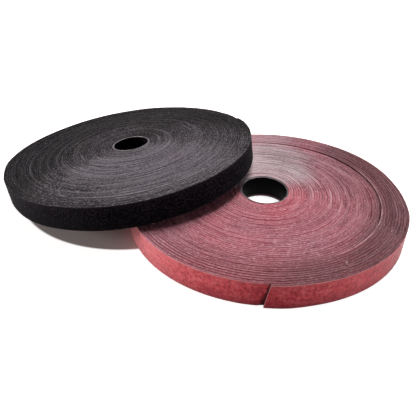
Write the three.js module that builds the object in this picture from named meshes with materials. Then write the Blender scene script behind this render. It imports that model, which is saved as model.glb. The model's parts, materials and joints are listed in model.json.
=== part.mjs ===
// Two rolls of hook and loop tape, with the hook sheet and the loop sheet back to back.
// The red roll lies flat, and the black one leans on its top edge with its low rim on the ground.
// Lengths are in millimetres, +Z is up, and the origin is under the middle of the pair.
import * as THREE from 'three';

// Tape
const tapeWidth = 12.7;
const tapeThickness = 1.9;
const hookSheetThickness = 0.8;
const loopSheetThickness = 0.8;
const turnGap = 0.58;
const cutSlant = 2.3;

// Loose end of each roll, which bends in short links as it is peeled off
const looseLength = 56;
const looseLinks = 4;
const linkGap = 0.3;

// Cores
const coreWall = 0.8;
const coreHeight = 11.1;
const coreProud = 0.1;
const coreLipRadius = 0.3;
const coreClearance = 0.4;

// Rolls: the dish is how far the middle of a winding has slid up from its rim, and the rim shift how far the
// rim has slid off the core's middle. Turning is the way that the tape runs in from its free end, 1 for
// anticlockwise.
const redRoll = {
  name: 'red',
  outerRadius: 71.3,
  boreRadius: 11.7,
  dish: 0,
  rimShift: 1.3,
  rimShiftDegrees: -90,
  endDegrees: -95.2,
  turning: 1,
};
const blackRoll = {
  name: 'black',
  outerRadius: 69,
  boreRadius: 9.6,
  dish: 2.3,
  rimShift: 1.9,
  rimShiftDegrees: 175,
  endDegrees: 47,
  turning: -1,
};

// Lie of the pair, seen from above: from the middle of the lower roll's rim to the middle of the leaning core
const rollSpacing = 76.8;
const leanDegrees = -22.5;
const restClearance = 0.3;

// Smoothness
const stepsPerTurn = 24;
const rimStepsPerTurn = 48;
const stepsPerLink = 4;
const coreSegments = 48;
const lipSteps = 3;
const leanSamples = 60;
const leanPasses = 8;

const fullTurn = 2 * Math.PI;
const quarterTurn = fullTurn / 4;
const turnPitch = tapeThickness + turnGap;
const sheetGap = tapeThickness - hookSheetThickness - loopSheetThickness;

const redTape = new THREE.MeshStandardMaterial({ color: 0xb2505a, roughness: 0.9, metalness: 0 });
const redHooks = new THREE.MeshStandardMaterial({ color: 0x93404c, roughness: 0.95, metalness: 0 });
const blackTape = new THREE.MeshStandardMaterial({ color: 0x232325, roughness: 0.9, metalness: 0 });
const blackHooks = new THREE.MeshStandardMaterial({ color: 0x151517, roughness: 0.95, metalness: 0 });
const corePlastic = new THREE.MeshStandardMaterial({ color: 0x141417, roughness: 0.35, metalness: 0 });

function coreRadius(roll) {
  return roll.boreRadius + coreWall;
}

// Radius of the tape's outer face, a sweep in radians back from its free end
function faceRadius(roll, sweep) {
  return roll.outerRadius - turnPitch * sweep / fullTurn;
}

// Sweep of the whole winding, which ends against the core
function wholeSweep(roll) {
  const woundDepth = roll.outerRadius - coreRadius(roll) - coreClearance - tapeThickness;
  return fullTurn * woundDepth / turnPitch;
}

// Share of the way from the core out to the rim at a radius
function rimShare(roll, radius) {
  const core = coreRadius(roll);
  return Math.max(radius - core, 0) / (roll.outerRadius - core);
}

// Rise of the winding's edges above the roll's rim plane at a radius
function dishRise(roll, radius) {
  return roll.dish * (1 - rimShare(roll, radius));
}

// Middle of the turn at a radius, seen along the core's axis
function turnMiddle(roll, radius) {
  const shift = new THREE.Vector2(roll.rimShift * rimShare(roll, radius), 0);
  return shift.rotateAround(new THREE.Vector2(), THREE.MathUtils.degToRad(roll.rimShiftDegrees));
}

// Distance from the core's axis to the rim at an angle
function rimRadius(roll, angle) {
  const endAngle = THREE.MathUtils.degToRad(roll.endDegrees);
  const shiftAngle = THREE.MathUtils.degToRad(roll.rimShiftDegrees);
  const sweep = THREE.MathUtils.euclideanModulo(roll.turning * (angle - endAngle), fullTurn);
  return faceRadius(roll, sweep) + roll.rimShift * Math.cos(angle - shiftAngle);
}

// The four corners of the tape's section at a sweep, between two depths under its outer face
function section(roll, sweep, depthFrom, depthTo, topShift) {
  const face = faceRadius(roll, sweep);
  const outer = face - depthFrom;
  const inner = face - depthTo;
  const middle = turnMiddle(roll, face);
  const base = dishRise(roll, face);
  const bottomAngle = THREE.MathUtils.degToRad(roll.endDegrees) + roll.turning * sweep;
  const topAngle = bottomAngle + roll.turning * topShift / roll.outerRadius;
  const corner = (radius, angle, height) => {
    const x = middle.x + radius * Math.cos(angle);
    const y = middle.y + radius * Math.sin(angle);
    return new THREE.Vector3(x, y, base + height);
  };
  return [
    corner(inner, bottomAngle, 0),
    corner(outer, bottomAngle, 0),
    corner(outer, topAngle, tapeWidth),
    corner(inner, topAngle, tapeWidth),
  ];
}

// A closed strip through a row of four-cornered sections, which run anticlockwise if turning is 1
function stripGeometry(sections, turning) {
  const corners = sections[0].length;
  const triangles = [];
  for (let row = 0; row + 1 < sections.length; row += 1) {
    for (let side = 0; side < corners; side += 1) {
      const near = row * corners + side;
      const nearNext = row * corners + (side + 1) % corners;
      const far = near + corners;
      const farNext = nearNext + corners;
      triangles.push(near, farNext, nearNext, near, far, farNext);
    }
  }
  const last = (sections.length - 1) * corners;
  triangles.push(0, 1, 2, 0, 2, 3);
  triangles.push(last, last + 2, last + 1, last, last + 3, last + 2);
  if (turning < 0) triangles.reverse();
  const geometry = new THREE.BufferGeometry().setFromPoints(sections.flat());
  geometry.setIndex(triangles);
  geometry.computeVertexNormals();
  return geometry;
}

function rootSweep(roll) {
  return looseLength / roll.outerRadius;
}

// Sweeps of the winding's sections: close together on the rim turn, and in line from turn to turn
function windingSweeps(roll) {
  const sweeps = [rootSweep(roll) + linkGap / roll.outerRadius];
  const rimStep = fullTurn / rimStepsPerTurn;
  const innerStep = fullTurn / stepsPerTurn;
  for (let step = Math.ceil(sweeps[0] / rimStep); step < rimStepsPerTurn; step += 1) {
    sweeps.push(step * rimStep);
  }
  const whole = wholeSweep(roll);
  for (let step = stepsPerTurn; step * innerStep < whole; step += 1) {
    sweeps.push(step * innerStep);
  }
  sweeps.push(whole);
  return sweeps;
}

// Least distance in plan from the tape's outer face on one turn to its inner face on the turn outside it
function leastTurnGap(sections) {
  const plan = (point) => new THREE.Vector3(point.x, point.y, 0);
  const innerFace = sections.map((corners) => plan(corners[0]));
  const outerFace = sections.map((corners) => plan(corners[1]));
  const middles = outerFace.slice(1).map((point, index) => point.clone().lerp(outerFace[index], 1 / 2));
  const nearest = new THREE.Vector3();
  let least = Infinity;
  for (let row = 0; row + 1 < innerFace.length; row += 1) {
    const stretch = new THREE.Line3(innerFace[row], innerFace[row + 1]);
    const firstInside = row + stepsPerTurn / 2;
    for (const point of [...outerFace.slice(firstInside), ...middles.slice(firstInside)]) {
      stretch.closestPointToPoint(point, true, nearest);
      least = Math.min(least, nearest.distanceTo(point));
    }
  }
  return least;
}

function makeWinding(roll, material) {
  const sections = windingSweeps(roll).map((sweep) => section(roll, sweep, 0, tapeThickness, 0));
  console.log(`${roll.name} winding: ${(wholeSweep(roll) / fullTurn).toFixed(1)} turns,`
    + ` least gap between turns ${leastTurnGap(sections).toFixed(3)} mm`);
  return named(`${roll.name}_tape_winding`, stripGeometry(sections, roll.turning), material);
}

// One sheet of one link of the loose end, counted from the root of the peel to the cut
function makeSheet(roll, link, sheet, depthFrom, depthTo, material) {
  const linkSweep = rootSweep(roll) / looseLinks;
  const halfGap = linkGap / 2 / roll.outerRadius;
  const isCut = link === looseLinks;
  const from = (looseLinks - link) * linkSweep + (isCut ? 0 : halfGap);
  const to = (looseLinks - link + 1) * linkSweep - halfGap;
  const sections = [];
  for (let step = 0; step <= stepsPerLink; step += 1) {
    const sweep = THREE.MathUtils.lerp(from, to, step / stepsPerLink);
    const topShift = isCut && step === 0 ? cutSlant : 0;
    sections.push(section(roll, sweep, depthFrom, depthTo, topShift));
  }
  return named(`${roll.name}_end_${sheet}_${link}`, stripGeometry(sections, roll.turning), material);
}

// A plain tube with rounded lips
function makeCore(roll) {
  const top = tapeWidth + roll.dish + coreProud;
  const bottom = top - coreHeight;
  const inner = roll.boreRadius + coreLipRadius;
  const outer = coreRadius(roll) - coreLipRadius;
  const low = bottom + coreLipRadius;
  const high = top - coreLipRadius;
  const lips = [
    [outer, low, -quarterTurn],
    [outer, high, 0],
    [inner, high, quarterTurn],
    [inner, low, 2 * quarterTurn],
  ];
  const profile = [];
  for (const [middleRadius, middleHeight, startAngle] of lips) {
    for (let step = 0; step <= lipSteps; step += 1) {
      const angle = startAngle + quarterTurn * step / lipSteps;
      profile.push(new THREE.Vector2(
        middleRadius + coreLipRadius * Math.cos(angle),
        middleHeight + coreLipRadius * Math.sin(angle),
      ));
    }
  }
  profile.push(profile[0].clone());
  const geometry = new THREE.LatheGeometry(profile, coreSegments);
  geometry.rotateX(quarterTurn);
  return named(`${roll.name}_core`, geometry, corePlastic);
}

function named(name, geometry, material) {
  const mesh = new THREE.Mesh(geometry, material);
  mesh.name = name;
  return mesh;
}

function makeRoll(roll, loopMaterial, hookMaterial) {
  const group = new THREE.Group();
  group.add(makeCore(roll), makeWinding(roll, loopMaterial));
  for (let link = 1; link <= looseLinks; link += 1) {
    const hookDepth = loopSheetThickness + sheetGap;
    group.add(
      makeSheet(roll, link, 'loop', 0, loopSheetThickness, loopMaterial),
      makeSheet(roll, link, 'hook', hookDepth, tapeThickness, hookMaterial),
    );
  }
  return group;
}

// The lean at which the upper roll's low rim is on the ground and its underside just clears the lower roll
function restingLean() {
  let lean = 0;
  for (let pass = 0; pass < leanPasses; pass += 1) {
    const reach = rimRadius(blackRoll, 2 * quarterTurn) * Math.cos(lean);
    let steepest = 0;
    for (let sample = 0; sample <= leanSamples; sample += 1) {
      const angle = quarterTurn * sample / leanSamples;
      const along = rollSpacing - redRoll.outerRadius * Math.cos(angle);
      const across = redRoll.outerRadius * Math.sin(angle);
      const radius = Math.hypot(along, across);
      if (radius < blackRoll.outerRadius) {
        const rise = tapeWidth + restClearance - dishRise(blackRoll, radius);
        steepest = Math.max(steepest, Math.atan2(rise, along + reach));
      }
    }
    lean = steepest;
  }
  return lean;
}

function makePair() {
  const red = makeRoll(redRoll, redTape, redHooks);
  const black = makeRoll(blackRoll, blackTape, blackHooks);
  const redRim = turnMiddle(redRoll, redRoll.outerRadius);
  red.position.set(-redRim.x, -redRim.y, 0);
  const lean = restingLean();
  const turned = new THREE.Group();
  const leaning = new THREE.Group();
  leaning.rotation.y = -lean;
  leaning.position.set(-rollSpacing, 0, rimRadius(blackRoll, 2 * quarterTurn) * Math.sin(lean));
  leaning.add(black);
  turned.rotation.z = THREE.MathUtils.degToRad(leanDegrees);
  turned.add(leaning);
  const pair = new THREE.Group();
  pair.add(red, turned);
  pair.updateMatrixWorld(true);
  const box = new THREE.Box3().setFromObject(pair, true);
  const middle = box.getCenter(new THREE.Vector3());
  pair.position.set(-middle.x, -middle.y, -box.min.z);
  return pair;
}

export default makePair();
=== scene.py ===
import json
import math

import bpy
import numpy as np
from mathutils import Euler, Matrix, Vector


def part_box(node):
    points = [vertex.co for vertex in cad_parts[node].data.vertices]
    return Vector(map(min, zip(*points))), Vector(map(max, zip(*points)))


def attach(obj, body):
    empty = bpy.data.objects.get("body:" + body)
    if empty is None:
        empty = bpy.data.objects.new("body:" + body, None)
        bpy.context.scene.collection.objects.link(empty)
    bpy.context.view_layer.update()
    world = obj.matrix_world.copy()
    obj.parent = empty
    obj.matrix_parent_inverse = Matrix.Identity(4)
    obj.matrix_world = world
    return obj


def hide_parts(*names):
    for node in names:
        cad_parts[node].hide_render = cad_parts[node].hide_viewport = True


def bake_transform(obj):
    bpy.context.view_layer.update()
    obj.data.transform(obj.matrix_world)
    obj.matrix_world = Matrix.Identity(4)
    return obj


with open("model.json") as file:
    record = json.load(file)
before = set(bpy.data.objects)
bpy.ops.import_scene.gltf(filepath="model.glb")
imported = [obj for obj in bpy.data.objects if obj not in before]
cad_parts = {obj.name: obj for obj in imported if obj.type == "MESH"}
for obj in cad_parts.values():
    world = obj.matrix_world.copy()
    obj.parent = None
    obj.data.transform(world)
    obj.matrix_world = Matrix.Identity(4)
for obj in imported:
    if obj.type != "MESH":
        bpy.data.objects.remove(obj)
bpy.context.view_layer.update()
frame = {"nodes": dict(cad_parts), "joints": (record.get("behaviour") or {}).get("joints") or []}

MM = 0.001
TURN = 2 * math.pi

# Camera, set against the point on the ground under the middle of the red roll's rim
CAMERA_PLACE = Vector((-0.02931, -0.20502, 0.13569))
CAMERA_DIP = 0.5798
CAMERA_ROLL = 0.0112
CAMERA_LENS = 39.78

# Tape
PITCH = 1.3 * MM
SAG = 0.04 * MM
# Section of a turn as shares of the pitch: depth under the outer face, and drop from the cut edge
EDGE_SHARES = ((0.00, 0.13), (0.07, 0.04), (0.27, 0.00), (0.47, 0.08), (0.67, 0.00), (0.86, 0.04))
FUZZ_SHARES = ((0.91, 0.14), (0.975, 0.17))
FACE_INSET = 0.9 * MM
OPEN_SHRINK_SHARE = 0.14
OPEN_DROP = 1.3 * MM
STEPS_PER_PIECE = 12

# Windings: the rim shift is how far the rim has slid off the core's middle, at an azimuth
RIM_SHIFT = {"red": (1.3 * MM, -90.0), "black": (1.9 * MM, 175.0)}
# How much farther the core and the turns near it reach along the roll's second axis than along its first
OVAL = {"red": 1.4 * MM, "black": 0.0}
# Turns pushed outwards: azimuths where this starts, is full, is still full and ends, its size, the share of
# it that is left at the last turn, and its first and last turns
PUSHES = {
    "red": (
        ((8, 42, 55, 92), 0.95 * MM, 0.45, 0, 10),
        ((76, 90, 110, 140), -0.45 * MM, 0.0, 0, 10),
        ((-20, -5, 5, 18), -0.5 * MM, 0.0, 0, 10),
        ((-85, -25, 75, 110), -0.5 * MM, 0.0, 10, 24),
        ((-25, 25, 60, 100), 0.2 * MM, 1.0, 0, 7),
        ((-90, -30, 60, 110), -0.25 * MM, 0.0, 13, 24),
        ((-175, -115, -100, -75), 1.1 * MM, 0.0, 0, 5),
    ),
    "black": (
        ((50, 62, 100, 130), -1.15 * MM, 0.0, 0, 12),
        ((152, 192, 203, 222), 1.65 * MM, 0.0, 0, 12),
        ((222, 242, 270, 310), -1.1 * MM, 0.0, 0, 12),
    ),
}
# Least lean of an axis that gives its slope a direction
LEAST_LEAN = 0.01
# Last turn that is sheared as the slanted cut is, near the free end
SLANT_TURNS = 1
SEEDS = {"red": 11, "black": 29}
# Wandering of the tape along its length: distance between the knots of each wave, and its size. Some knots
# are spare, past the tape's inner end
WAVES = {
    "top_long": (90 * MM, 0.05 * MM),
    "top_short": (17 * MM, 0.055 * MM),
    "bottom": (60 * MM, 0.05 * MM),
    "gap": (30 * MM, 0.28),
    "tint_long": (80 * MM, 0.45),
    "tint_short": (9 * MM, 0.5),
}
SPARE_KNOTS = 4

# Red roll: its outer turns, which lie less tightly, and the parting between two of its turns
LOOSE_AZIMUTHS = (-60, -5, 95, 140)
LOOSE_GAP = 0.5
LOOSE_RAISE = 0.2 * MM
RAISED_AZIMUTHS = (-20, 40, 75, 130)
PARTING_AZIMUTHS = (-80, -45, 10, 40)
PARTING_TURN = 10
PARTING_LIFT = 0.3 * MM
# Depth share past which the inner edge of the turn outside the parting takes its painted highlight
THREAD_DEPTH_SHARE = 0.6

# Patches of a roll's face: size, azimuths and shares of the outer radius where each starts, is full, is
# still full and ends, and in one the degrees by which its start moves on from the axis to the rim
FROM_CORE, TO_RIM = (-2, -1), (2, 3)
WHOLE_WIDTH = (*FROM_CORE, *TO_RIM)
ALL_ROUND = (-720, -540, 540, 720)
# The black roll's front, where its face is made paler as painted light
BLACK_FRONT = (-145, -95, -15, 60)
# Patches of painted shade on the red roll, on its right and at its back, which don't add up where they
# overlap
RIGHT_SHADE = ((-65, -20, 35, 75), (0.69, 0.87, *TO_RIM))
BACK_SHADE = ((30, 50, 55, 80), (0.76, 0.9, *TO_RIM))
BACK_SHADE_SIZE = 0.3
EVEN_OPENNESS = ((0.15, ALL_ROUND, WHOLE_WIDTH), (0.5, ALL_ROUND, (0.70, 0.92, *TO_RIM)))
# Kinds of patch: painted shade below 0 and painted light above it on the cut edges, then painted shade that
# dims the cut edges, painted sheen that pales the nap on the outer face, blush the cloth's own colour on the
# cut edges, tint a change in the strength of the streaks, and openness how far each turn stands off the next
# one in
PATCHES = {
    "red": {
        "region": (
            (0.84, (-30, 30, 150, 190), (*FROM_CORE, 0.70, 0.88), 60),
            (0.5, (38, 68, 150, 190), (0.74, 0.88, *TO_RIM)),
            (0.12, ALL_ROUND, (*FROM_CORE, 0.35, 0.6)),
            (-0.15, (-110, -80, -50, -20), (*FROM_CORE, 0.35, 0.6)),
            (-0.95, *RIGHT_SHADE),
            (-BACK_SHADE_SIZE, *BACK_SHADE),
            (-0.5, (-170, -115, -50, 0), (0.55, 0.9, *TO_RIM)),
            (-0.35, (-110, -75, -50, -20), (0.75, 0.92, *TO_RIM)),
            (-0.45, (-50, -10, 30, 70), (0.4, 0.6, 0.7, 0.8)),
            (-0.2, (-60, 0, 100, 140), (*FROM_CORE, 0.24, 0.36)),
        ),
        # Painted shade that darkens parts of the cut edges
        "dim": (
            (0.12, (-30, 10, 75, 110), (*FROM_CORE, 0.72, 0.85)),
            (0.2, (15, 35, 65, 95), (0.38, 0.5, 0.7, 0.82)),
            (0.1, (-110, -80, -40, -10), (0.3, 0.45, 0.7, 0.9)),
            (0.15, (35, 50, 68, 88), (0.78, 0.88, *TO_RIM)),
        ),
        # Painted sheen that pales the left of the band
        "faded": ((0.6, (-172, -154, -146, -112), WHOLE_WIDTH),),
        "blush": ((0.15, (-140, -70, 0, 40), (*FROM_CORE, 0.25, 0.5)),),
        "tint": (
            (0.6, (-70, -20, 60, 110), WHOLE_WIDTH),
            (-0.3, (-150, -110, -70, -30), WHOLE_WIDTH),
        ),
        "openness": (*EVEN_OPENNESS, (-0.3, (-150, -115, -75, -40), (0.70, 0.92, *TO_RIM))),
    },
    "black": {
        "region": (
            (-0.7, ALL_ROUND, WHOLE_WIDTH),
            (1.38, BLACK_FRONT, WHOLE_WIDTH),
            (-0.25, ALL_ROUND, (0.3, 0.9, *TO_RIM)),
            (0.25, BLACK_FRONT, (0.3, 0.9, *TO_RIM)),
            (0.4, BLACK_FRONT, (0.28, 0.34, 0.38, 0.44)),
            (0.4, BLACK_FRONT, (0.47, 0.53, 0.57, 0.63)),
            (0.14, (-85, -50, -15, 20), WHOLE_WIDTH),
            (0.35, (10, 38, 58, 80), (*FROM_CORE, 0.5, 0.8)),
            (0.22, (70, 95, 225, 245), (*FROM_CORE, 0.36, 0.56)),
            (-0.65, (165, 205, 265, 310), (0.58, 0.8, *TO_RIM)),
            (-0.4, ALL_ROUND, (0.86, 0.97, *TO_RIM)),
            (0.4, (40, 70, 150, 175), (0.86, 0.97, *TO_RIM)),
            (-0.2, (-125, -95, 110, 140), (*FROM_CORE, 0.25, 0.34)),
            (-0.1, (-10, 10, 110, 140), (*FROM_CORE, 0.25, 0.34)),
        ),
        "openness": EVEN_OPENNESS,
    },
}

# Loose ends
LINKS = 4
# Length over which the tip stands out, how far, the share of that at its top edge, and the share less that
# each turn under it takes
TIP_LENGTH = 12 * MM
TIP_LIFT = {"red": -0.5 * MM, "black": -1.0 * MM}
TIP_TOP_SHARE = 0.5
TIP_TURN_SHARE = 0.5
# Closer steps along the tape on both sides of the cut
CUT_REACH = 12 * MM
CUT_STEPS = 60
# Crease beside the cut, sunk and darkened as a painted shadow: length at the foot, share of that at the
# top, depth, share of the tape's width where the depth starts to fade, strength, and in lengths where it
# starts, is full, is still full and ends
CREASE_LENGTH = 2.0 * MM
CREASE_TOP_SHARE = 0.3
CREASE_DEPTH = 0.4 * MM
CREASE_FADE_SHARE = 0.6
CREASE_STRENGTH = 0.9
CREASE_SPAN = (-1.0, 0.0, 0.3, 1.6)

# Tufts of lint caught on the face: azimuth, turn, count of fibres and length
TUFTS = {
    "red": ((-64.5, 4, 12, 3.0 * MM), (-69.0, 17, 10, 1.3 * MM), (-71.5, 16, 10, 1.3 * MM)),
    "black": (),
}
TUFT_RADIUS = 0.11 * MM
TUFT_SPREAD = 0.16 * MM
TUFT_STRAY = 0.1
TUFT_CURL = 0.2
TUFT_LENGTHS = (0.5, 1.0)

# Cores
CORE_SEGMENTS = 144
LIP_STEPS = 5
LIP_RADIUS = 0.3 * MM
CORE_RECESS = 0.25 * MM
CORE_CLEARANCE = 0.08 * MM
LEAST_THICKNESS = 0.12 * MM

# Stray fibres: count per metre of tape, length, whether only the outermost turn has them, depths as shares
# of the pitch, heights as shares of the tape's width and what is added to them, and mean and spread of their
# direction outwards, along and up
FUZZ = (
    (230, 0.75 * MM, False, (0.1, 0.72), ((1, -0.08 * MM), (1, 0)), ((0, 0.35), (0.1, 0.9), (0.35, 0.25))),
    (2600, 0.42 * MM, True, (0, 0.1), ((1, -0.35 * MM), (1, -0.1 * MM)), ((0.5, 0.3), (0, 0.6), (0.5, 0.35))),
    (1300, 0.36 * MM, True, (0, 0.02), ((0, 0.25 * MM), (0, 0.6 * MM)), ((0.8, 0.2), (0, 0.6), (0.1, 0.1))),
    (4200, 0.3 * MM, True, (0, 0.01), ((0, 0.8 * MM), (1, -0.8 * MM)), ((0.55, 0.2), (0, 0.8), (0, 0.5))),
)
FIBRE_RADIUS = 0.028 * MM
FIBRE_CURL = 0.7
# Lengths follow a gamma distribution with a mean of 1, kept within limits
FIBRE_LENGTH_SHAPE = 3
FIBRE_LENGTHS = (0.4, 2.6)
# A fibre's foot is sunk by some radii, and it narrows towards its bend
FIBRE_SIDES = 3
FIBRE_SINK = 2
FIBRE_BEND_SHARE = 0.8
# Places 0 to 2 are the ring at the foot, 3 to 5 the ring at the bend, and 6 the tip
FIBRE_FACES = ((0, 2, 1), (0, 1, 4, 3), (1, 2, 5, 4), (2, 0, 3, 5), (3, 4, 6), (4, 5, 6), (5, 3, 6))
# How upright a way has to be before its side is taken from east instead of from up
UPRIGHT = 0.8

# Hooks: they bend back and forth along the tape in turn, and a little outwards
HOOK_SPACING = 0.95 * MM
HOOK_RADIUS = 0.055 * MM
HOOK_LENGTH = 0.26 * PITCH
HOOK_LENGTHS = (0.85, 1.1)
HOOK_BEND = 1.6
HOOK_BEND_OUT = 0.5

# Meshes: finishes are places in a piece's list of materials, and a strip's edges are its top and bottom
OUTER_FACE, CUT_EDGE, INNER_FACE, STRAY = range(4)
TOP, BOTTOM = 1, -1
SHARP_ANGLE = math.radians(75)

# Stage: the floor, with its paint in eight bits and how white the camera sees it, the shade under the
# leaning roll, and the strength of the world's light
FLOOR_HALF = 3.0
FLOOR_PAINT = (220, 206, 202)
FLOOR_ROUGHNESS = 0.9
FLOOR_GLOSS = 0.1
FLOOR_GLOW = 0.88
SHADE_REACH_SHARE = 0.90
SHADE_SHIFT = Vector((0.0, -2.5 * MM, 0.0))
SHADE_SOFT = 0.7 * MM
WORLD_LIGHT = 0.08
# Soft lamps: place, size across and power in watts
LAMPS = {
    "key": (Vector((0.14, 0.28, 1.00)), 0.52, 13.2),
    "left": (Vector((-0.92, -0.04, 0.12)), 0.22, 7.5),
    "right": (Vector((0.92, -0.10, 0.14)), 0.22, 3.5),
}
WHITE = (1.0, 1.0, 1.0, 1.0)
BLACK = (0.0, 0.0, 0.0, 1.0)


class Roll:
    """Where a roll lies and how big it is, measured on its CAD nodes."""

    def __init__(self, name):
        self.name = name
        joints = {joint["name"]: joint for joint in frame["joints"]}
        hinges = [joints[f"{name}_peel_{link}"] for link in range(1, LINKS + 1)]
        axis = Vector(hinges[0]["axis"]).normalized()
        self.turning = 1 if axis.z > 0 else -1
        axis = axis * self.turning
        east = (Vector((1, 0, 0)) - axis * axis.x).normalized()
        self.basis = np.array([east, axis.cross(east), axis])
        low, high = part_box(f"{name}_core")
        self.origin = np.array((low + high) / 2)
        rim = self.local_points(f"{name}_end_loop_{LINKS}")
        self.origin = self.origin + self.basis[2] * rim[:, 2].min()
        rim[:, 2] -= rim[:, 2].min()
        rise = self.basis[:2, 2]
        self.upslope = math.atan2(rise[1], rise[0]) if np.hypot(*rise) > LEAST_LEAN else 0.0
        shift, direction = RIM_SHIFT[name]
        direction = self.upslope + math.radians(direction)
        self.rim_shift = shift * np.array([math.cos(direction), math.sin(direction)])
        self.width = float(rim[:, 2].max())
        self.outer = float(np.hypot(*(rim[:, :2] - self.rim_shift).T).max())
        self.measure_core()
        self.measure_dish()
        self.measure_end(rim, [self.to_local(np.array(hinge["pos_m"])) for hinge in hinges])
        self.whole = TURN * (self.outer - self.core - CORE_CLEARANCE - LEAST_THICKNESS) / PITCH
        self.rng = np.random.default_rng(SEEDS[name])
        length = self.along(self.whole)
        self.waves = {wave: wandering(length, *sizes, self.rng) for wave, sizes in WAVES.items()}

    def to_local(self, points):
        return (points - self.origin) @ self.basis.T

    def to_world(self, points):
        return points @ self.basis + self.origin

    def local_points(self, node):
        return self.to_local(np.array([vertex.co for vertex in frame["nodes"][node].data.vertices]))

    def measure_core(self):
        points = self.local_points(f"{self.name}_core")
        reach = np.hypot(points[:, 0], points[:, 1])
        self.core, self.bore = float(reach.max()), float(reach.min())
        self.core_low, self.core_high = float(points[:, 2].min()), float(points[:, 2].max())

    def measure_dish(self):
        """Rise of the tape's edges for each metre in from the rim."""
        points = self.local_points(f"{self.name}_tape_winding")
        inner = float(np.hypot(points[:, 0], points[:, 1]).min())
        self.slope = (float(points[:, 2].max()) - self.width) / (self.outer - inner)

    def measure_end(self, rim, hinges):
        """Angle of the free end, the slant of its cut, and the sweeps of the bends back from it."""
        def angle(point):
            return math.atan2(point[1] - self.rim_shift[1], point[0] - self.rim_shift[0])
        last = angle(hinges[-1])
        flat = rim[:, :2] - self.rim_shift
        turned = self.turning * (np.arctan2(flat[:, 1], flat[:, 0]) - last)
        turned = (turned + math.pi) % TURN - math.pi
        top = rim[:, 2] > self.width / 2
        self.start = last + self.turning * float(turned.min())
        self.slant = (float(turned[top].min()) - float(turned.min())) * self.outer
        self.bends = [self.turning * (angle(hinge) - self.start) % TURN for hinge in hinges]
        self.link = self.bends[-2] - self.bends[-1]

    def radius(self, sweep):
        """Even radius of the tape's outer face, a sweep in radians back from its free end."""
        return self.outer - PITCH * sweep / TURN

    def along(self, sweep):
        """Length of tape from the free end to a sweep."""
        return self.outer * sweep - PITCH / TURN * sweep * sweep / 2

    def sweep_at(self, along):
        growth = PITCH / TURN
        return (self.outer - np.sqrt(self.outer ** 2 - 2 * growth * along)) / growth

    def azimuth(self, sweep):
        """Degrees from the roll's own east, or from the way up its slope if it leans."""
        return (np.degrees(self.start + self.turning * sweep - self.upslope) + 180) % 360 - 180

    def push(self, sweep):
        """How far the turns stand out from their even radius."""
        azimuth, turn = self.azimuth(sweep), sweep / TURN
        total = np.zeros_like(sweep)
        for band, size, left, first, last in PUSHES[self.name]:
            share = 1 - (1 - left) * (turn - first) / (last - first)
            share = np.where((turn >= first) & (turn < last), share, 0)
            total = total + size * patch(azimuth, 0, band, WHOLE_WIDTH) * share
        return total

    def patches(self, kind, sweep):
        azimuth, share = self.azimuth(sweep), self.radius(sweep) / self.outer
        total = np.zeros_like(share)
        for size, *where in PATCHES[self.name].get(kind, ()):
            total = total + size * patch(azimuth, share, *where)
        return total

    def openness(self, sweep):
        """How far each turn stands off the next one in, from 0 to 1."""
        gaps = self.patches("openness", sweep) + self.waves["gap"](self.along(sweep))
        if self.name == "red":
            gaps = gaps + LOOSE_GAP * self.loose_zone(sweep)
        return np.clip(gaps, 0, 1)

    def loose_zone(self, sweep):
        """The outer turns on the right and at the back, which lie less tightly."""
        return window(self.azimuth(sweep), *LOOSE_AZIMUTHS) * (sweep / TURN < PARTING_TURN)

    def lift(self, sweep):
        """Height of the top edge above its even height."""
        along = self.along(sweep)
        height = self.waves["top_long"](along) + self.waves["top_short"](along)
        if self.name == "red":
            raised = self.loose_zone(sweep) * window(self.azimuth(sweep), *RAISED_AZIMUTHS)
            height = height + LOOSE_RAISE * raised + PARTING_LIFT * self.parting_edge(sweep)
        return height

    def parting_edge(self, sweep):
        """The turn just outside the parting, on the right, where its inner edge shows."""
        return window(self.azimuth(sweep), *PARTING_AZIMUTHS) * (np.floor(sweep / TURN) == PARTING_TURN - 1)

    def tint(self, sweep):
        """Streaks of darker (below 0) or paler (above 0) yarn."""
        along = self.along(sweep)
        tint = self.waves["tint_long"](along) + self.waves["tint_short"](along)
        return tint * (1 + self.patches("tint", sweep))

    def region(self, sweep):
        """Painted shade (below 0) and painted light (above 0) on the cut edges around the roll."""
        region = self.patches("region", sweep)
        if self.name == "red":
            azimuth, share = self.azimuth(sweep), self.radius(sweep) / self.outer
            overlap = patch(azimuth, share, *RIGHT_SHADE) * patch(azimuth, share, *BACK_SHADE)
            region = region + BACK_SHADE_SIZE * overlap
        return region


def window(value, start, full, still_full, end):
    return smooth(value, start, full) * (1 - smooth(value, still_full, end))


def smooth(value, low, high):
    share = np.clip((value - low) / (high - low), 0, 1)
    return share * share * (3 - 2 * share)


def patch(azimuth, share, azimuths, shares, twist=0):
    """A patch of a roll's face, from 0 outside it to 1 where it is full."""
    start, full, still_full, end = azimuths
    wrapped = np.where(azimuth < start, azimuth + 360, azimuth)
    around = smooth(wrapped - twist * share, start, full) * (1 - smooth(wrapped, still_full, end))
    return around * window(share, *shares)


def wandering(length, spacing, size, rng):
    """A smooth random function of the place along the tape, with a knot every spacing."""
    knots = rng.normal(0, size, math.ceil(length / spacing) + SPARE_KNOTS)

    def at(along):
        place = np.maximum(along, 0) / spacing
        index = place.astype(int)
        ease = smooth(place - index, 0, 1)
        return knots[index] * (1 - ease) + knots[index + 1] * ease

    return at


def unit(vectors):
    return vectors / np.linalg.norm(vectors, axis=-1, keepdims=True)


# Tape

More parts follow.
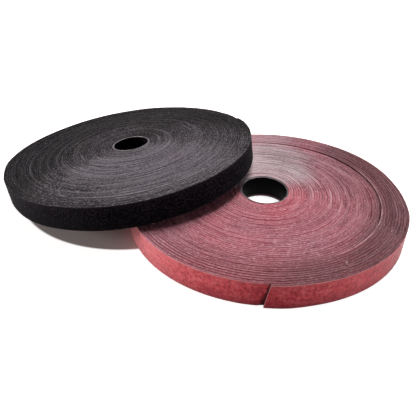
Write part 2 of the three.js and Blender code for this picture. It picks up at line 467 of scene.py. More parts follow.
def section_profile(is_wound):
    """Rows of depth, drop, end, fuzz and finish, round the section from the foot of the outer face."""
    top = [(depth * PITCH, drop * PITCH, TOP, 0, CUT_EDGE) for depth, drop in EDGE_SHARES]
    if is_wound:
        top += [(depth * PITCH, drop * PITCH, TOP, 1, CUT_EDGE) for depth, drop in FUZZ_SHARES]
    else:
        top += [(EDGE_SHARES[-1][0] * PITCH, FACE_INSET, TOP, 0, INNER_FACE)]
    top[-1] = (*top[-1][:-1], INNER_FACE)
    bottom = [(depth, drop, BOTTOM, fuzz, CUT_EDGE) for depth, drop, _, fuzz, _ in reversed(top)]
    if not is_wound:
        bottom[0] = (*bottom[0][:-1], INNER_FACE)
    bottom[-1] = (*bottom[-1][:-1], OUTER_FACE)
    face = [(0, FACE_INSET, end, 0, OUTER_FACE) for end in (BOTTOM, TOP)]
    return np.array(face + top + bottom)


def place_on_tape(roll, sweep, depth, height):
    """Points at a sweep, a depth under the outer face and a height over the roll's foot."""
    turn = np.round(sweep / TURN)
    from_end = np.abs(sweep - TURN * turn)
    high_share = height / roll.width
    near_end = (1 - smooth(from_end, 0, roll.link)) * (turn <= SLANT_TURNS)
    shear = roll.slant * near_end * high_share / roll.outer
    lifted = TIP_LIFT[roll.name] * (1 - smooth(from_end * roll.outer, 0, TIP_LENGTH))
    lifted = lifted * np.clip(1 - TIP_TURN_SHARE * turn, 0, 1)
    lifted = lifted * (1 - (1 - TIP_TOP_SHARE) * high_share)
    creased = crease(roll, sweep, height) * (1 - smooth(high_share, CREASE_FADE_SHARE, 1))
    lifted = lifted - CREASE_DEPTH * creased
    even = roll.radius(sweep)
    room = np.clip((even - roll.core - CORE_CLEARANCE) / PITCH, 0, 1)
    radius = even + roll.push(sweep) - depth * room + lifted
    angle = roll.start + roll.turning * (sweep + shear)
    rim_share = (even - roll.core) / (roll.outer - roll.core)
    x = roll.rim_shift[0] * rim_share + radius * np.cos(angle)
    y = roll.rim_shift[1] * rim_share + (radius + OVAL[roll.name] * (1 - rim_share)) * np.sin(angle)
    rise = roll.slope * (roll.outer - even)
    points = roll.to_world(np.stack([x, y, height + rise], axis=-1))
    points[..., 2] = np.maximum(points[..., 2], 0)
    return points


def tape_points(roll, sweeps, profile):
    depth, drop, end, fuzz = profile[:, :4].T
    sweep = sweeps[:, None] + np.zeros(len(profile))
    openness = roll.openness(sweep)
    depth = depth * (1 - OPEN_SHRINK_SHARE * openness * fuzz)
    drop = drop + fuzz * OPEN_DROP * openness
    top = roll.width + roll.lift(sweep) - drop
    bottom = np.abs(roll.waves["bottom"](roll.along(sweep))) + drop
    height = np.where(end > 0, top, bottom)
    return place_on_tape(roll, sweep, depth, height), sweep, depth, height, openness


def cut_steps(roll, sweeps):
    """The sweeps with closer ones added where the tape passes under the free end."""
    reach = CUT_REACH / roll.outer
    return np.union1d(sweeps, TURN + np.linspace(-reach, reach, CUT_STEPS))


def crease(roll, sweep, height):
    """Where the turn that passes under the free end is sunk and painted with shadow, just beside the cut."""
    away = (TURN - sweep) * roll.outer / CREASE_LENGTH
    reach = 1 - (1 - CREASE_TOP_SHARE) * height / roll.width
    start, full, still_full, end = CREASE_SPAN
    return CREASE_STRENGTH * window(away, start, full, still_full * reach, end * reach)


def painted_thread_highlight(roll, sweep, depth):
    """Painted highlight on the inner edge of the turn just outside the parting."""
    if roll.name != "red":
        return np.zeros_like(sweep)
    return roll.parting_edge(sweep) * (depth > THREAD_DEPTH_SHARE * PITCH)


def even_steps(roll, first, last):
    """Sweeps close enough for round turns, farther apart on the smaller ones. A chord that strays by the
    sag is the root of 8 radii times sags long, so the steps are even in the radius to the power of 3/2."""
    growth, power = PITCH / TURN, 3 / 2
    high, low = roll.radius(first) ** power, roll.radius(last) ** power
    steps = (high - low) / (power * growth * math.sqrt(8 * SAG))
    share = np.linspace(0, 1, math.ceil(steps))
    return (roll.outer - (high * (1 - share) + low * share) ** (1 / power)) / growth


def tape_strip(roll, sweeps, is_wound):
    """Vertices, faces, finishes and surface readings of a closed strip of tape."""
    profile = section_profile(is_wound)
    points, sweep, depth, height, openness = tape_points(roll, sweeps, profile)
    rows, columns = points.shape[:2]
    quads = grid_quads(rows, columns, False)
    last = (rows - 1) * columns
    caps = [list(range(columns)), [last + place for place in reversed(range(columns))]]
    if roll.turning < 0:
        quads = quads[:, ::-1]
        caps = [cap[::-1] for cap in caps]
    finishes = np.broadcast_to(profile[:, 4], (rows - 1, columns)).reshape(-1)
    readings = {
        "along": roll.along(sweep),
        "across": height,
        "inward": roll.outer - roll.radius(sweep) + depth,
        "depth": depth / PITCH,
        "openness": openness,
        "tint": roll.tint(sweep),
        "region": roll.region(sweep),
        "crease": crease(roll, sweep, height),
        "thread": painted_thread_highlight(roll, sweep, depth),
        **{kind: roll.patches(kind, sweep) for kind in ("blush", "dim", "faded")},
    }
    finishes = finishes.astype(int).tolist() + [CUT_EDGE] * len(caps)
    return new_part(points, quads.tolist() + caps, finishes, readings)


# Fibres: three-sided tapered threads, each with one bend

def fibres(roots, ways, curls, lengths, radius, finish, **readings):
    """Fibres from their roots, each bent from its way by its curl. Readings have one value a fibre."""
    ways = unit(ways)
    reference = np.where(np.abs(ways[:, 2:]) < UPRIGHT, [[0, 0, 1.0]], [[1.0, 0, 0]])
    side = unit(np.cross(ways, reference))
    other = np.cross(ways, side)
    half = lengths[:, None] / 2
    foot = roots - ways * FIBRE_SINK * radius
    middle = roots + ways * half
    tip = middle + unit(ways + curls) * half
    rings = []
    for centre, size in ((foot, 1), (middle, FIBRE_BEND_SHARE)):
        for step in range(FIBRE_SIDES):
            angle = TURN * step / FIBRE_SIDES
            rings.append(centre + radius * size * (side * math.cos(angle) + other * math.sin(angle)))
    vertices = np.stack([*rings, tip], axis=1)
    count = vertices.shape[1]
    firsts = range(0, count * len(roots), count)
    faces = [[first + place for place in face] for first in firsts for face in FIBRE_FACES]
    readings = {name: np.repeat(values, count) for name, values in readings.items()}
    return new_part(vertices, faces, [finish] * len(faces), readings)


def directions(roll, sweep):
    """Unit vectors outwards from the roll's axis, along the tape and up the axis, at each sweep."""
    angle = roll.start + roll.turning * sweep
    zero = np.zeros_like(angle)
    outward = np.stack([np.cos(angle), np.sin(angle), zero], axis=-1) @ roll.basis
    forward = roll.turning * np.stack([-np.sin(angle), np.cos(angle), zero], axis=-1) @ roll.basis
    return outward, forward, np.broadcast_to(roll.basis[2], outward.shape)


def scatter(roll, first, last, density, depths, heights, lean, length):
    """Fibres spread evenly over the length of tape between two sweeps, as a row of FUZZ has them."""
    rng = roll.rng
    low, high = roll.along(first), roll.along(last)
    count = int(density * (high - low))
    sweep = roll.sweep_at(rng.uniform(low, high, count))
    depth = rng.uniform(*depths, count)
    height = roll.lift(sweep) + rng.uniform(*heights, count)
    weights = rng.normal([mean for mean, _ in lean], [size for _, size in lean], (count, 3))
    ways = sum(weights[:, k:k + 1] * way for k, way in enumerate(directions(roll, sweep)))
    curls = rng.normal(0, FIBRE_CURL, (count, 3))
    size = rng.gamma(FIBRE_LENGTH_SHAPE, 1 / FIBRE_LENGTH_SHAPE, count)
    size = np.clip(size, *FIBRE_LENGTHS) * length
    roots = place_on_tape(roll, sweep, depth, height)
    return fibres(roots, ways, curls, size, FIBRE_RADIUS, STRAY, region=roll.region(sweep))


def fuzz(roll, first, last):
    """Stray fibres on the cut edges, along both rims and over the outer face."""
    parts = []
    for density, length, is_outermost, depths, heights, lean in FUZZ:
        end = min(last, TURN) if is_outermost else last
        depths = [share * PITCH for share in depths]
        heights = [share * roll.width + more for share, more in heights]
        parts.append(scatter(roll, first, end, density, depths, heights, lean, length))
    return joined(parts)


def tufts(roll):
    """Small tufts of pale lint that stand on the cut edges."""
    parts, rng = [], roll.rng
    for azimuth, turn, count, length in TUFTS[roll.name]:
        turned = roll.turning * (math.radians(azimuth) + roll.upslope - roll.start) % TURN
        sweep = turned + TURN * turn + rng.normal(0, TUFT_SPREAD, count) / roll.outer
        depth = PITCH / 2 + rng.normal(0, TUFT_SPREAD, count)
        ways = roll.basis[2] + TUFT_STRAY * rng.normal(size=(count, 3))
        curls = rng.normal(0, TUFT_CURL, (count, 3))
        roots = place_on_tape(roll, sweep, depth, roll.width)
        lengths = length * rng.uniform(*TUFT_LENGTHS, count)
        parts.append(fibres(roots, ways, curls, lengths, TUFT_RADIUS, STRAY, lint=np.ones(count)))
    return parts


def hooks(roll, first, last):
    """Rows of hooks on the inner face of the loose end."""
    face = roll.width - 2 * FACE_INSET
    rows, columns = int((last - first) * roll.outer / HOOK_SPACING), int(face / HOOK_SPACING)
    row, column = (place.reshape(-1) for place in np.meshgrid(range(rows), range(columns), indexing="ij"))
    sweep = first + (last - first) * (row + 1 / 2) / rows
    height = FACE_INSET + face * (column + 1 / 2) / columns
    outward, forward, _ = directions(roll, sweep)
    curls = forward * np.where(column % 2, HOOK_BEND, -HOOK_BEND)[:, None] + HOOK_BEND_OUT * outward
    lengths = HOOK_LENGTH * roll.rng.uniform(*HOOK_LENGTHS, len(sweep))
    roots = place_on_tape(roll, sweep, EDGE_SHARES[-1][0] * PITCH, height)
    return fibres(roots, -outward, curls, lengths, HOOK_RADIUS, INNER_FACE)


# Meshes

def grid_quads(rows, columns, is_ring):
    """Faces of a grid with places numbered row by row, closed across the rows, and for a ring along too."""
    count = rows if is_ring else rows - 1
    row, column = np.meshgrid(range(count), range(columns), indexing="ij")
    ahead, beside = (row + 1) % rows, (column + 1) % columns
    corners = ((row, column), (ahead, column), (ahead, beside), (row, beside))
    return np.stack([first * columns + second for first, second in corners], axis=-1).reshape(-1, 4)


def new_part(vertices, faces, finishes, readings):
    readings = {name: values.reshape(-1) for name, values in readings.items()}
    return {"vertices": vertices.reshape(-1, 3), "faces": faces, "finishes": finishes, "readings": readings}


def joined(parts):
    vertices, faces, finishes, offset = [], [], [], 0
    names = sorted({name for part in parts for name in part["readings"]})
    readings = {name: [] for name in names}
    for part in parts:
        vertices.append(part["vertices"])
        faces += [[place + offset for place in face] for face in part["faces"]]
        finishes += part["finishes"]
        for name in names:
            readings[name].append(part["readings"].get(name, np.zeros(len(part["vertices"]))))
        offset += len(part["vertices"])
    readings = {name: np.concatenate(values) for name, values in readings.items()}
    return new_part(np.concatenate(vertices), faces, finishes, readings)


def add_object(name, data):
    made = bpy.data.objects.new(name, data)
    bpy.context.scene.collection.objects.link(made)
    return made


def new_piece(name, part, materials):
    mesh = bpy.data.meshes.new(name)
    mesh.from_pydata(part["vertices"].tolist(), [], part["faces"])
    mesh.polygons.foreach_set("material_index", np.array(part["finishes"], np.int32))
    mesh.polygons.foreach_set("use_smooth", np.ones(len(mesh.polygons), bool))
    mesh.set_sharp_from_angle(angle=SHARP_ANGLE)
    for reading, values in part["readings"].items():
        attribute = mesh.attributes.new(reading, "FLOAT", "POINT")
        attribute.data.foreach_set("value", values.astype(np.float32))
    for material in materials:
        mesh.materials.append(material)
    mesh.update()
    return add_object(name, mesh)


def core_mesh(roll):
    """A plain tube with rounded lips."""
    low, high = roll.core_low + LIP_RADIUS, roll.core_high - CORE_RECESS - LIP_RADIUS
    inner, outer = roll.bore + LIP_RADIUS, roll.core - LIP_RADIUS
    profile = []
    # Corners of the wall's section, with the quarter of a turn that each starts at
    for radius, height, quarter in ((outer, low, -1), (outer, high, 0), (inner, high, 1), (inner, low, 2)):
        for step in range(LIP_STEPS + 1):
            angle = TURN / 4 * (quarter + step / LIP_STEPS)
            # Where the top lip carries its painted highlight
            lip = math.sin(TURN / 2 * step / LIP_STEPS) if height == high else 0.0
            across, up = LIP_RADIUS * math.cos(angle), LIP_RADIUS * math.sin(angle)
            profile.append((radius + across, height + up, lip))
    radius, height, lip = np.array(profile).T
    angle = np.arange(CORE_SEGMENTS)[:, None] * TURN / CORE_SEGMENTS
    x, y = radius * np.cos(angle), (radius + OVAL[roll.name]) * np.sin(angle)
    local = np.stack(np.broadcast_arrays(x, y, height), axis=-1)
    rows, columns = local.shape[:2]
    quads = grid_quads(rows, columns, True).tolist()
    lip = np.broadcast_to(lip, (rows, columns))
    return new_part(roll.to_world(local), quads, [0] * len(quads), {"lip": lip})


# Materials

class Nodes:
    """The node tree of a material or the world, with short calls for the nodes that the finishes use."""

    def __init__(self, owner, shader, look):
        self.owner, self.look = owner, look
        self.spans = {**SPANS, **look.get("spans", {})}
        owner.use_nodes = True
        self.tree = owner.node_tree
        self.shader = self.tree.nodes[shader]

    def link(self, source, target):
        if isinstance(source, bpy.types.NodeSocket):
            self.tree.links.new(source, target)
        else:
            target.default_value = source

    def new(self, kind, settings=None, **inputs):
        node = self.tree.nodes.new(kind)
        for name, value in (settings or {}).items():
            setattr(node, name, value)
        for name, value in inputs.items():
            self.link(value, node.inputs[name.replace("_", " ")])
        return node

    def reading(self, name):
        return self.new("ShaderNodeAttribute", {"attribute_name": name}).outputs["Fac"]

    def spot(self):
        return self.new("ShaderNodeTexCoord").outputs["Object"]

    def place(self, x, y):
        return self.new("ShaderNodeCombineXYZ", X=x, Y=y).outputs[0]

    def math(self, operation, first, *others):
        """The first value, with each of the others brought in by the operation."""
        for other in others:
            node = self.new("ShaderNodeMath", {"operation": operation})
            self.link(first, node.inputs[0])
            self.link(other, node.inputs[1])
            first = node.outputs[0]
        return first

    def product(self, *values):
        return self.math("MULTIPLY", *values)

    def highest(self, *values):
        return self.math("MAXIMUM", *values)

    def noise(self, place, scale, detail, roughness):
        node = self.new("ShaderNodeTexNoise", Vector=place, Scale=scale, Detail=detail, Roughness=roughness)
        return node.outputs[0]

    def cells(self, place, scale, randomness):
        """Distance from the middle of the nearest cell."""
        node = self.new("ShaderNodeTexVoronoi", {"feature": "F1"}, Vector=place, Scale=scale,
                        Randomness=randomness)
        return node.outputs["Distance"]

    def range(self, value, low, high, to_low=0.0, to_high=1.0):
        node = self.new("ShaderNodeMapRange", {"interpolation_type": "SMOOTHSTEP"}, Value=value,
                        From_Min=low, From_Max=high, To_Min=to_low, To_Max=to_high)
        return node.outputs[0]

    def span(self, value, name):
        return self.range(value, *self.spans[name])

    def mix(self, share, first, second, blend="MIX"):
        node = self.new("ShaderNodeMix", {"data_type": "RGBA", "blend_type": blend})
        self.link(share, node.inputs["Factor"])
        self.link(first, node.inputs[6])
        self.link(second, node.inputs[7])
        return node.outputs[2]

    def painted(self, color, *layers):
        """The colour under layers, each a value, the name of its span, and a paint of the look."""
        for value, span, paint in layers:
            color = self.mix(self.span(value, span), color, self.look[paint])
        return color

    def bumps(self, *layers):
        """A normal with bumps over each other, each a height and the name of its depth and strength."""
        normal = None
        for height, kind in layers:
            distance, strength = BUMPS[kind]
            node = self.new("ShaderNodeBump", Height=height, Distance=distance, Strength=strength)
            if normal is not None:
                self.link(normal, node.inputs["Normal"])
            normal = node.outputs[0]
        return normal

    def finish(self, color, roughness, normal=None, **constants):
        self.link(color, self.shader.inputs["Base Color"])
        self.link(roughness, self.shader.inputs["Roughness"])
        if normal is not None:
            self.link(normal, self.shader.inputs["Normal"])
        for name, value in constants.items():
            self.shader.inputs[name.replace("_", " ")].default_value = value
        return self.owner


def material_nodes(name, look):
    """Nodes of a new material, with the colours and spans of a look."""
    return Nodes(bpy.data.materials.new(name), "Principled BSDF", look)


def srgb(red, green, blue):
    """A colour written as the eight-bit values it shows as."""
    def linear(value):
        value = value / 255
        return value / 12.92 if value <= 0.04045 else ((value + 0.055) / 1.055) ** 2.4
    return (linear(red), linear(green), linear(blue), 1.0)


# Noises: scale, detail and roughness
NOISES = {
    "broad": (180.0, 3.0, 0.55),
    "threads": (5200.0, 2.0, 0.55),
    "streaks": (1500.0, 2.0, 0.6),
    "stains": (34.0, 2.0, 0.55),
    "rings": (330.0, 3.0, 0.7),
    "ground": (300.0, 3.0, 0.55),
    "plastic": (1800.0, 3.0, 0.55),
    "scuffs": (420.0, 4.0, 0.7),
}
# Cells: scale and randomness
CELLS = {"loops": (1250.0, 0.45), "weave": (2100.0, 0.25)}
# Bumps: depth and strength
BUMPS = {
    "loops": (0.12 * MM, 0.6),
    "clumps": (0.25 * MM, 0.6),
    "threads": (0.04 * MM, 0.6),
    "lines": (0.08 * MM, 0.6),
    "grain": (0.12 * MM, 0.7),
    "weave": (0.10 * MM, 0.8),
    "plastic": (0.02 * MM, 0.5),
}
# Spans: a low and a high value, and what the two turn into
SPANS = {
    "pits": (0.33, 0.52, 0.05, 1.0),
    "between_loops": (0.30, 0.70, 0.0, 0.6),
    "broad_dark": (0.5, 0.68, 0.0, 0.65),
    # Painted shade towards the band's foot and painted light towards its top
    "foot": (0.0, 7.0 * MM, 0.4, 0.0),
    "painted_light_above": (8.0 * MM, 12.5 * MM, 0.0, 0.12),
    # Painted sheen on the band, broken up by the clumps
    "faded": (0.35, 0.65, 0.5, 1.2),
    # Painted highlight along the top edge of the outermost turn
    "top": (11.9 * MM, 12.7 * MM, 0.0, 0.8),
    "outermost": (PITCH, 1.2 * PITCH, 1.0, 0.0),
    # Painted shadow in the crease beside the cut
    "crease": (-0.3, 0.25, 0.0, 0.85),
    "loop_roughness": (0.3, 0.7, 0.95, 0.82),
    # Stains fade where shade is painted
    "stains_in_painted_dimming": (0.0, 0.2, 1.0, 0.2),
    # Painted light and painted shade of the cut edges
    "far": (0.0, 1.0, 0.0, 0.85),
    "worn": (0.0, -1.0, 0.0, 0.85),
    "line_dark": (0.33, 0.47, 0.7, 0.0),
    "tint_dark": (-0.1, -1.2, 0.0, 0.6),
    "line_pale": (0.56, 0.70, 0.0, 0.35),
    "tint_pale": (0.4, 1.8, 0.0, 0.35),
    # Pale streaks fade where shade is painted
    "pale_in_painted_shade": (0.0, -1.0, 1.0, 0.35),
    # Painted highlight on the inner edge of the turn outside the parting
    "thread": (0.4, 0.6, 0.3, 0.8),
    # Painted shade deep in the open gaps between turns
    "gap": (0.76, 0.92),
    "open": (0.1, 0.8, 0.3, 1.0),
    "edge_roughness": (0.3, 0.7, 0.9, 0.75),
    "weave": (0.2, 0.7),
    "ground": (0.4, 0.7, 0.0, 0.5),
    "hook_roughness": (0.2, 0.8, 0.55, 0.8),
    "fibre": (0.2, 1.0),
    "fibre_worn": (-0.1, -0.9, 0.0, 0.7),
    "fibre_roughness": (0.0, 1.0, 0.5, 0.75),
    # Painted highlight along the lip, broken up by the scuffs
    "lip": (0.3, 0.65, 0.25, 1.0),
    "scuffs": (0.55, 0.8, 0.0, 0.12),
    "plastic_roughness": (0.3, 0.75, 0.4, 0.6),
}
# Share of the way along that counts in the streaks of the cut edges, which makes them long
LINES_ALONG = 0.10
GRAIN_ALONG = 0.45
# How far the clumps break up the edge of the crease's painted shadow
CREASE_RAGGED = 0.9
PLASTIC = {"body": srgb(5, 4, 8), "lip": srgb(190, 180, 184), "scuff": srgb(34, 34, 38)}


def own_spans(clump_tops, broad, stains, grain, rings):
    """Spans of one tape: where its clump tops start and are full, and the most of each of the others."""
    return {
        "clump_tops": (*clump_tops, 0.0, 0.6),
        "broad_pale": (0.5, 0.3, 0.0, broad),
        "stains": (0.35, 0.7, 0.0, stains),
        "grain_dark": (0.34, 0.47, grain, 0.0),
        "grain_pale": (0.54, 0.68, 0.0, grain),
        "ring_dark": (0.35, 0.5, rings, 0.0),
        "ring_pale": (0.5, 0.65, 0.0, rings),
    }


LOOKS = {
    "red": {
        "loop": srgb(212, 74, 84), "loop_dark": srgb(150, 36, 48), "loop_pale": srgb(226, 128, 132),
        # The rim paint is a painted highlight along the band's top edge, the crease paint a painted shadow
        "rim": srgb(242, 190, 192), "crease": srgb(62, 8, 20), "hook": srgb(118, 52, 62),
        "edge": srgb(168, 105, 117), "edge_dark": srgb(104, 50, 62), "edge_pale": srgb(216, 172, 178),
        # The gap paint is painted shade deep in the open gaps between turns
        "edge_worn": srgb(88, 52, 54), "edge_far": srgb(197, 186, 189), "gap": srgb(50, 20, 27),
        "fibre": srgb(206, 156, 160), "fibre_dark": srgb(156, 78, 88), "lint": srgb(250, 232, 226),
        "edge_shade": (0.42, 0.30, 0.34, 1.0), "sheen": (1.0, 0.84, 0.87, 1.0),
        "clumps": (620.0, 3.0, 0.6),
        "spans": own_spans(clump_tops=(0.55, 0.72), broad=0.28, stains=0.22, grain=0.6, rings=0.16),
        "gloss": 0.2, "sheen_weight": 0.95, "sheen_roughness": 0.38, "edge_sheen": 0.12,
    },
    "black": {
        "loop": srgb(10, 8, 12), "loop_dark": srgb(1, 1, 2), "loop_pale": srgb(52, 45, 56),
        # The rim paint is a painted highlight along the band's top edge, the crease paint a painted shadow
        "rim": srgb(62, 56, 62), "crease": srgb(4, 3, 5), "hook": srgb(16, 15, 18),
        "edge": srgb(55, 51, 53), "edge_dark": srgb(24, 22, 24), "edge_pale": srgb(136, 129, 134),
        # The gap paint is painted shade deep in the open gaps between turns
        "edge_worn": srgb(20, 18, 19), "edge_far": srgb(106, 99, 105), "gap": srgb(8, 7, 9),
        "fibre": srgb(66, 62, 67), "fibre_dark": srgb(20, 18, 22), "lint": srgb(150, 146, 150),
        "edge_shade": (0.30, 0.28, 0.30, 1.0), "sheen": (0.9, 0.86, 0.95, 1.0),
        "clumps": (950.0, 3.0, 0.6),
        "spans": own_spans(clump_tops=(0.47, 0.64), broad=0.1, stains=0.1, grain=0.78, rings=0.13),
        "gloss": 0.04, "sheen_weight": 0.015, "sheen_roughness": 0.45, "edge_sheen": 0.03,
    },
}


def loop_material(name, look):
    """Napped loop cloth: small clumps of loops with darker pits between them, in faint rows."""
    nodes = material_nodes(f"{name}_loop_cloth", look)
    across = nodes.reading("across")
    place = nodes.place(nodes.reading("along"), across)
    clumps = nodes.noise(place, *look["clumps"])
    broad = nodes.noise(place, *NOISES["broad"])
    loops = nodes.cells(place, *CELLS["loops"])
    threads = nodes.noise(place, *NOISES["threads"])
    color = nodes.painted(
        look["loop_dark"],
        (clumps, "pits", "loop"),
        (clumps, "clump_tops", "loop_pale"),
        (loops, "between_loops", "loop_dark"),
        (broad, "broad_dark", "loop_dark"),
        (broad, "broad_pale", "loop_pale"),
        # Painted shade towards the band's foot and painted light towards its top
        (across, "foot", "loop_dark"),
        (across, "painted_light_above", "loop_pale"),
    )
    # Painted sheen: paler nap on the left of the band
    faded = nodes.product(nodes.reading("faded"), nodes.span(clumps, "faded"))
    color = nodes.mix(faded, color, look["loop_pale"])
    # Painted highlight along the top edge of the outermost turn
    outermost = nodes.span(nodes.reading("inward"), "outermost")
    top = nodes.product(nodes.span(across, "top"), outermost)
    color = nodes.mix(top, color, look["rim"])
    # Painted shadow in the crease beside the cut, its edge broken by the clumps
    ragged = nodes.product(clumps, CREASE_RAGGED)
    ragged = nodes.math("SUBTRACT", nodes.reading("crease"), ragged)
    color = nodes.painted(color, (ragged, "crease", "crease"))
    normal = nodes.bumps((loops, "loops"), (clumps, "clumps"), (threads, "threads"))
    roughness = nodes.span(clumps, "loop_roughness")
    return nodes.finish(color, roughness, normal, Sheen_Weight=look["sheen_weight"],
                        Sheen_Roughness=look["sheen_roughness"], Sheen_Tint=look["sheen"],
                        Specular_IOR_Level=look["gloss"])


def edge_material(name, look):
    """The slit edges of the turns: streaks of cut yarn that run round the roll."""
    nodes = material_nodes(f"{name}_cut_edge", look)
    along, inward, depth, tint, region, openness, dim = (
        nodes.reading(word) for word in ("along", "inward", "depth", "tint", "region", "openness", "dim"))
    lines, grain = (
        nodes.noise(nodes.place(nodes.product(along, share), inward), *NOISES["streaks"])
        for share in (LINES_ALONG, GRAIN_ALONG))
    rings = nodes.noise(nodes.place(0.0, inward), *NOISES["rings"])
    stains = nodes.noise(nodes.spot(), *NOISES["stains"])
    stains = nodes.product(nodes.span(stains, "stains"), nodes.span(dim, "stains_in_painted_dimming"))
    color = nodes.mix(stains, look["edge"], look["loop"])
    color = nodes.mix(nodes.reading("blush"), color, look["loop"])
    # Painted light and painted shade around the roll
    color = nodes.painted(color, (region, "far", "edge_far"), (region, "worn", "edge_worn"))
    # Painted shade, darkening the cut edges towards black
    color = nodes.mix(dim, color, BLACK)
    dark = nodes.highest(
        nodes.span(lines, "line_dark"), nodes.span(tint, "tint_dark"), nodes.span(grain, "grain_dark"))
    color = nodes.mix(dark, color, look["edge_shade"], "MULTIPLY")
    color = nodes.mix(nodes.span(rings, "ring_dark"), color, look["edge_shade"], "MULTIPLY")
    color = nodes.painted(color, (rings, "ring_pale", "edge_pale"))
    pale = nodes.highest(
        nodes.span(lines, "line_pale"), nodes.span(tint, "tint_pale"), nodes.span(grain, "grain_pale"))
    # Pale streaks fade where shade is painted
    pale = nodes.product(pale, nodes.span(region, "pale_in_painted_shade"))
    color = nodes.mix(pale, color, look["edge_pale"])
    # Painted highlight on the inner edge of the turn outside the parting
    thread = nodes.product(nodes.reading("thread"), nodes.span(lines, "thread"))
    color = nodes.mix(thread, color, look["edge_pale"])
    # Painted shade deep in the open gaps between turns
    gap = nodes.product(nodes.span(depth, "gap"), nodes.span(openness, "open"))
    color = nodes.mix(gap, color, look["gap"])
    normal = nodes.bumps((lines, "lines"), (grain, "grain"))
    roughness = nodes.span(grain, "edge_roughness")
    return nodes.finish(color, roughness, normal, Sheen_Weight=look["edge_sheen"], Sheen_Roughness=0.5,
                        Sheen_Tint=look["sheen"], Specular_IOR_Level=look["gloss"])


def hook_material(name, look):
    """The woven ground under the hooks, and the hooks themselves."""
    nodes = material_nodes(f"{name}_hook_cloth", look)
    place = nodes.place(nodes.reading("along"), nodes.reading("across"))
    weave = nodes.cells(place, *CELLS["weave"])
    ground = nodes.noise(place, *NOISES["ground"])
    color = nodes.painted(look["hook"], (weave, "weave", "edge_dark"), (ground, "ground", "edge"))
    roughness = nodes.span(weave, "hook_roughness")
    return nodes.finish(color, roughness, nodes.bumps((weave, "weave")), Specular_IOR_Level=0.4)


def fibre_material(name, look):
    nodes = material_nodes(f"{name}_fibre", look)
    chance = nodes.new("ShaderNodeNewGeometry").outputs["Random Per Island"]
    # Fibres take on the painted shade of the cut edges they stand on
    layers = (chance, "fibre", "fibre"), (nodes.reading("region"), "fibre_worn", "edge_worn")
    color = nodes.painted(look["fibre_dark"], *layers)
    color = nodes.mix(nodes.reading("lint"), color, look["lint"])
    return nodes.finish(color, nodes.span(chance, "fibre_roughness"), Sheen_Weight=0.3,
                        Sheen_Roughness=0.4, Specular_IOR_Level=0.4)


def plastic_material():
    """Moulded plastic with scuffs, and a painted highlight along its lip."""
    nodes = material_nodes("core_plastic", PLASTIC)
    spot = nodes.spot()
    grain = nodes.noise(spot, *NOISES["plastic"])
    scuffs = nodes.noise(spot, *NOISES["scuffs"])
    # Painted highlight along the lip, broken up by the scuffs
    lip = nodes.product(nodes.reading("lip"), nodes.span(scuffs, "lip"))
    color = nodes.mix(lip, PLASTIC["body"], PLASTIC["lip"])
    color = nodes.painted(color, (scuffs, "scuffs", "scuff"))
    roughness = nodes.span(scuffs, "plastic_roughness")
    return nodes.finish(color, roughness, nodes.bumps((grain, "plastic")), Specular_IOR_Level=0.03)


# Pieces

def dress(roll, plastic):
    """Makes every piece of one roll."""
    makers = (loop_material, edge_material, hook_material, fibre_material)
    cloth = [maker(roll.name, LOOKS[roll.name]) for maker in makers]
    body = f"{roll.name}_roll"
    first = roll.bends[0] + roll.link / 2

    winding = tape_strip(roll, cut_steps(roll, even_steps(roll, first, roll.whole)), True)
    winding = new_piece(f"{roll.name}_winding", winding, cloth[:STRAY])
    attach(winding, body)
    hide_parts(f"{roll.name}_tape_winding")

    stray = joined([fuzz(roll, first, roll.whole), *tufts(roll)])
    stray["finishes"] = [0] * len(stray["finishes"])
    stray = new_piece(f"{roll.name}_stray_fibres", stray, cloth[STRAY:])
    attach(stray, body)

    core = new_piece(f"{roll.name}_core_tube", core_mesh(roll), [plastic])
    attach(core, body)
    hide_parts(f"{roll.name}_core")

    for link in range(1, LINKS + 1):
        dress_link(roll, link, cloth)


def dress_link(roll, link, cloth):
    """A piece of the loose end from the middle of one link to the middle of the next, across their bend."""
    bend = roll.bends[link - 1]
    first = 0.0 if link == LINKS else bend - roll.link / 2
    last = bend + roll.link / 2
    parts = [
        tape_strip(roll, np.linspace(first, last, STEPS_PER_PIECE), False),
        fuzz(roll, first, last),
        hooks(roll, first, last),
    ]
    piece = new_piece(f"{roll.name}_loose_end_{link}", joined(parts), cloth)
    middle = place_on_tape(roll, np.array([bend]), 0.0, roll.width / 2)[0]
    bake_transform(piece)
    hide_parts(f"{roll.name}_end_loop_{link}", f"{roll.name}_end_hook_{link}")


# Stage

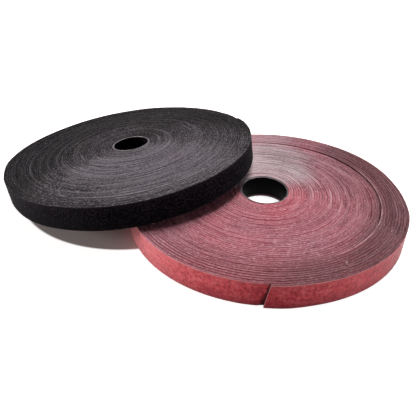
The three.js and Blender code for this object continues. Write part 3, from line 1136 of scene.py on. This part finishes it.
def floor_material(black):
    """White to the camera, except under the leaning roll, where the floor shows its shade."""
    nodes = material_nodes("floor_white", {})
    spot = nodes.new("ShaderNodeNewGeometry").outputs["Position"]
    low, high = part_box("black_core")
    centre = (low + high) / 2 + SHADE_SHIFT
    away = nodes.new("ShaderNodeVectorMath", {"operation": "DISTANCE"})
    nodes.link(spot, away.inputs[0])
    away.inputs[1].default_value = (centre.x, centre.y, 0)
    reach = black.outer * SHADE_REACH_SHARE
    open_floor = nodes.range(away.outputs["Value"], reach - SHADE_SOFT, reach + SHADE_SOFT)
    sight = nodes.new("ShaderNodeLightPath")
    seen = nodes.highest(*(sight.outputs[f"Is {ray} Ray"] for ray in ("Camera", "Glossy", "Transmission")))
    nodes.shader.inputs["Emission Color"].default_value = WHITE
    glow = nodes.product(seen, open_floor, FLOOR_GLOW)
    nodes.link(glow, nodes.shader.inputs["Emission Strength"])
    return nodes.finish(srgb(*FLOOR_PAINT), FLOOR_ROUGHNESS, Specular_IOR_Level=FLOOR_GLOSS)


def make_floor(black):
    half = FLOOR_HALF
    corners = [(-half, -half, 0), (half, -half, 0), (half, half, 0), (-half, half, 0)]
    mesh = bpy.data.meshes.new("floor")
    mesh.from_pydata(corners, [], [(0, 1, 2, 3)])
    mesh.materials.append(floor_material(black))
    add_object("floor", mesh)


def make_world():
    """White to the camera, and a weak light to the pieces."""
    world = bpy.data.worlds.new("studio")
    bpy.context.scene.world = world
    nodes = Nodes(world, "Background", {})
    sight = nodes.new("ShaderNodeLightPath")
    seen = nodes.highest(sight.outputs["Is Camera Ray"], sight.outputs["Is Transmission Ray"])
    nodes.shader.inputs["Color"].default_value = WHITE
    nodes.link(nodes.range(seen, 0.0, 1.0, WORLD_LIGHT, 1.0), nodes.shader.inputs["Strength"])


def make_lamps():
    for name, (place, size, power) in LAMPS.items():
        lamp = bpy.data.lights.new(f"{name}_lamp", "AREA")
        lamp.shape = "SQUARE"
        lamp.size = size
        lamp.energy = power
        holder = add_object(f"{name}_lamp", lamp)
        holder.location = place
        holder.rotation_euler = place.to_track_quat("Z", "Y").to_euler()


def make_camera(red):
    camera = bpy.data.cameras.new("camera")
    camera.lens = CAMERA_LENS
    holder = add_object("camera", camera)
    middle = red.to_world(np.array([*red.rim_shift, 0.0]))
    ground = Vector((float(middle[0]), float(middle[1]), 0))
    tilt = Euler((TURN / 4 - CAMERA_DIP, 0, 0)).to_matrix().to_4x4()
    roll = Matrix.Rotation(CAMERA_ROLL, 4, "Z")
    holder.matrix_world = Matrix.Translation(ground + CAMERA_PLACE) @ tilt @ roll
    bpy.context.scene.camera = holder


red_roll, black_roll = Roll("red"), Roll("black")
make_camera(red_roll)
core_plastic = plastic_material()
for each_roll in (red_roll, black_roll):
    dress(each_roll, core_plastic)
make_floor(black_roll)
make_world()
make_lamps()
bpy.context.scene.view_settings.view_transform = "Standard"
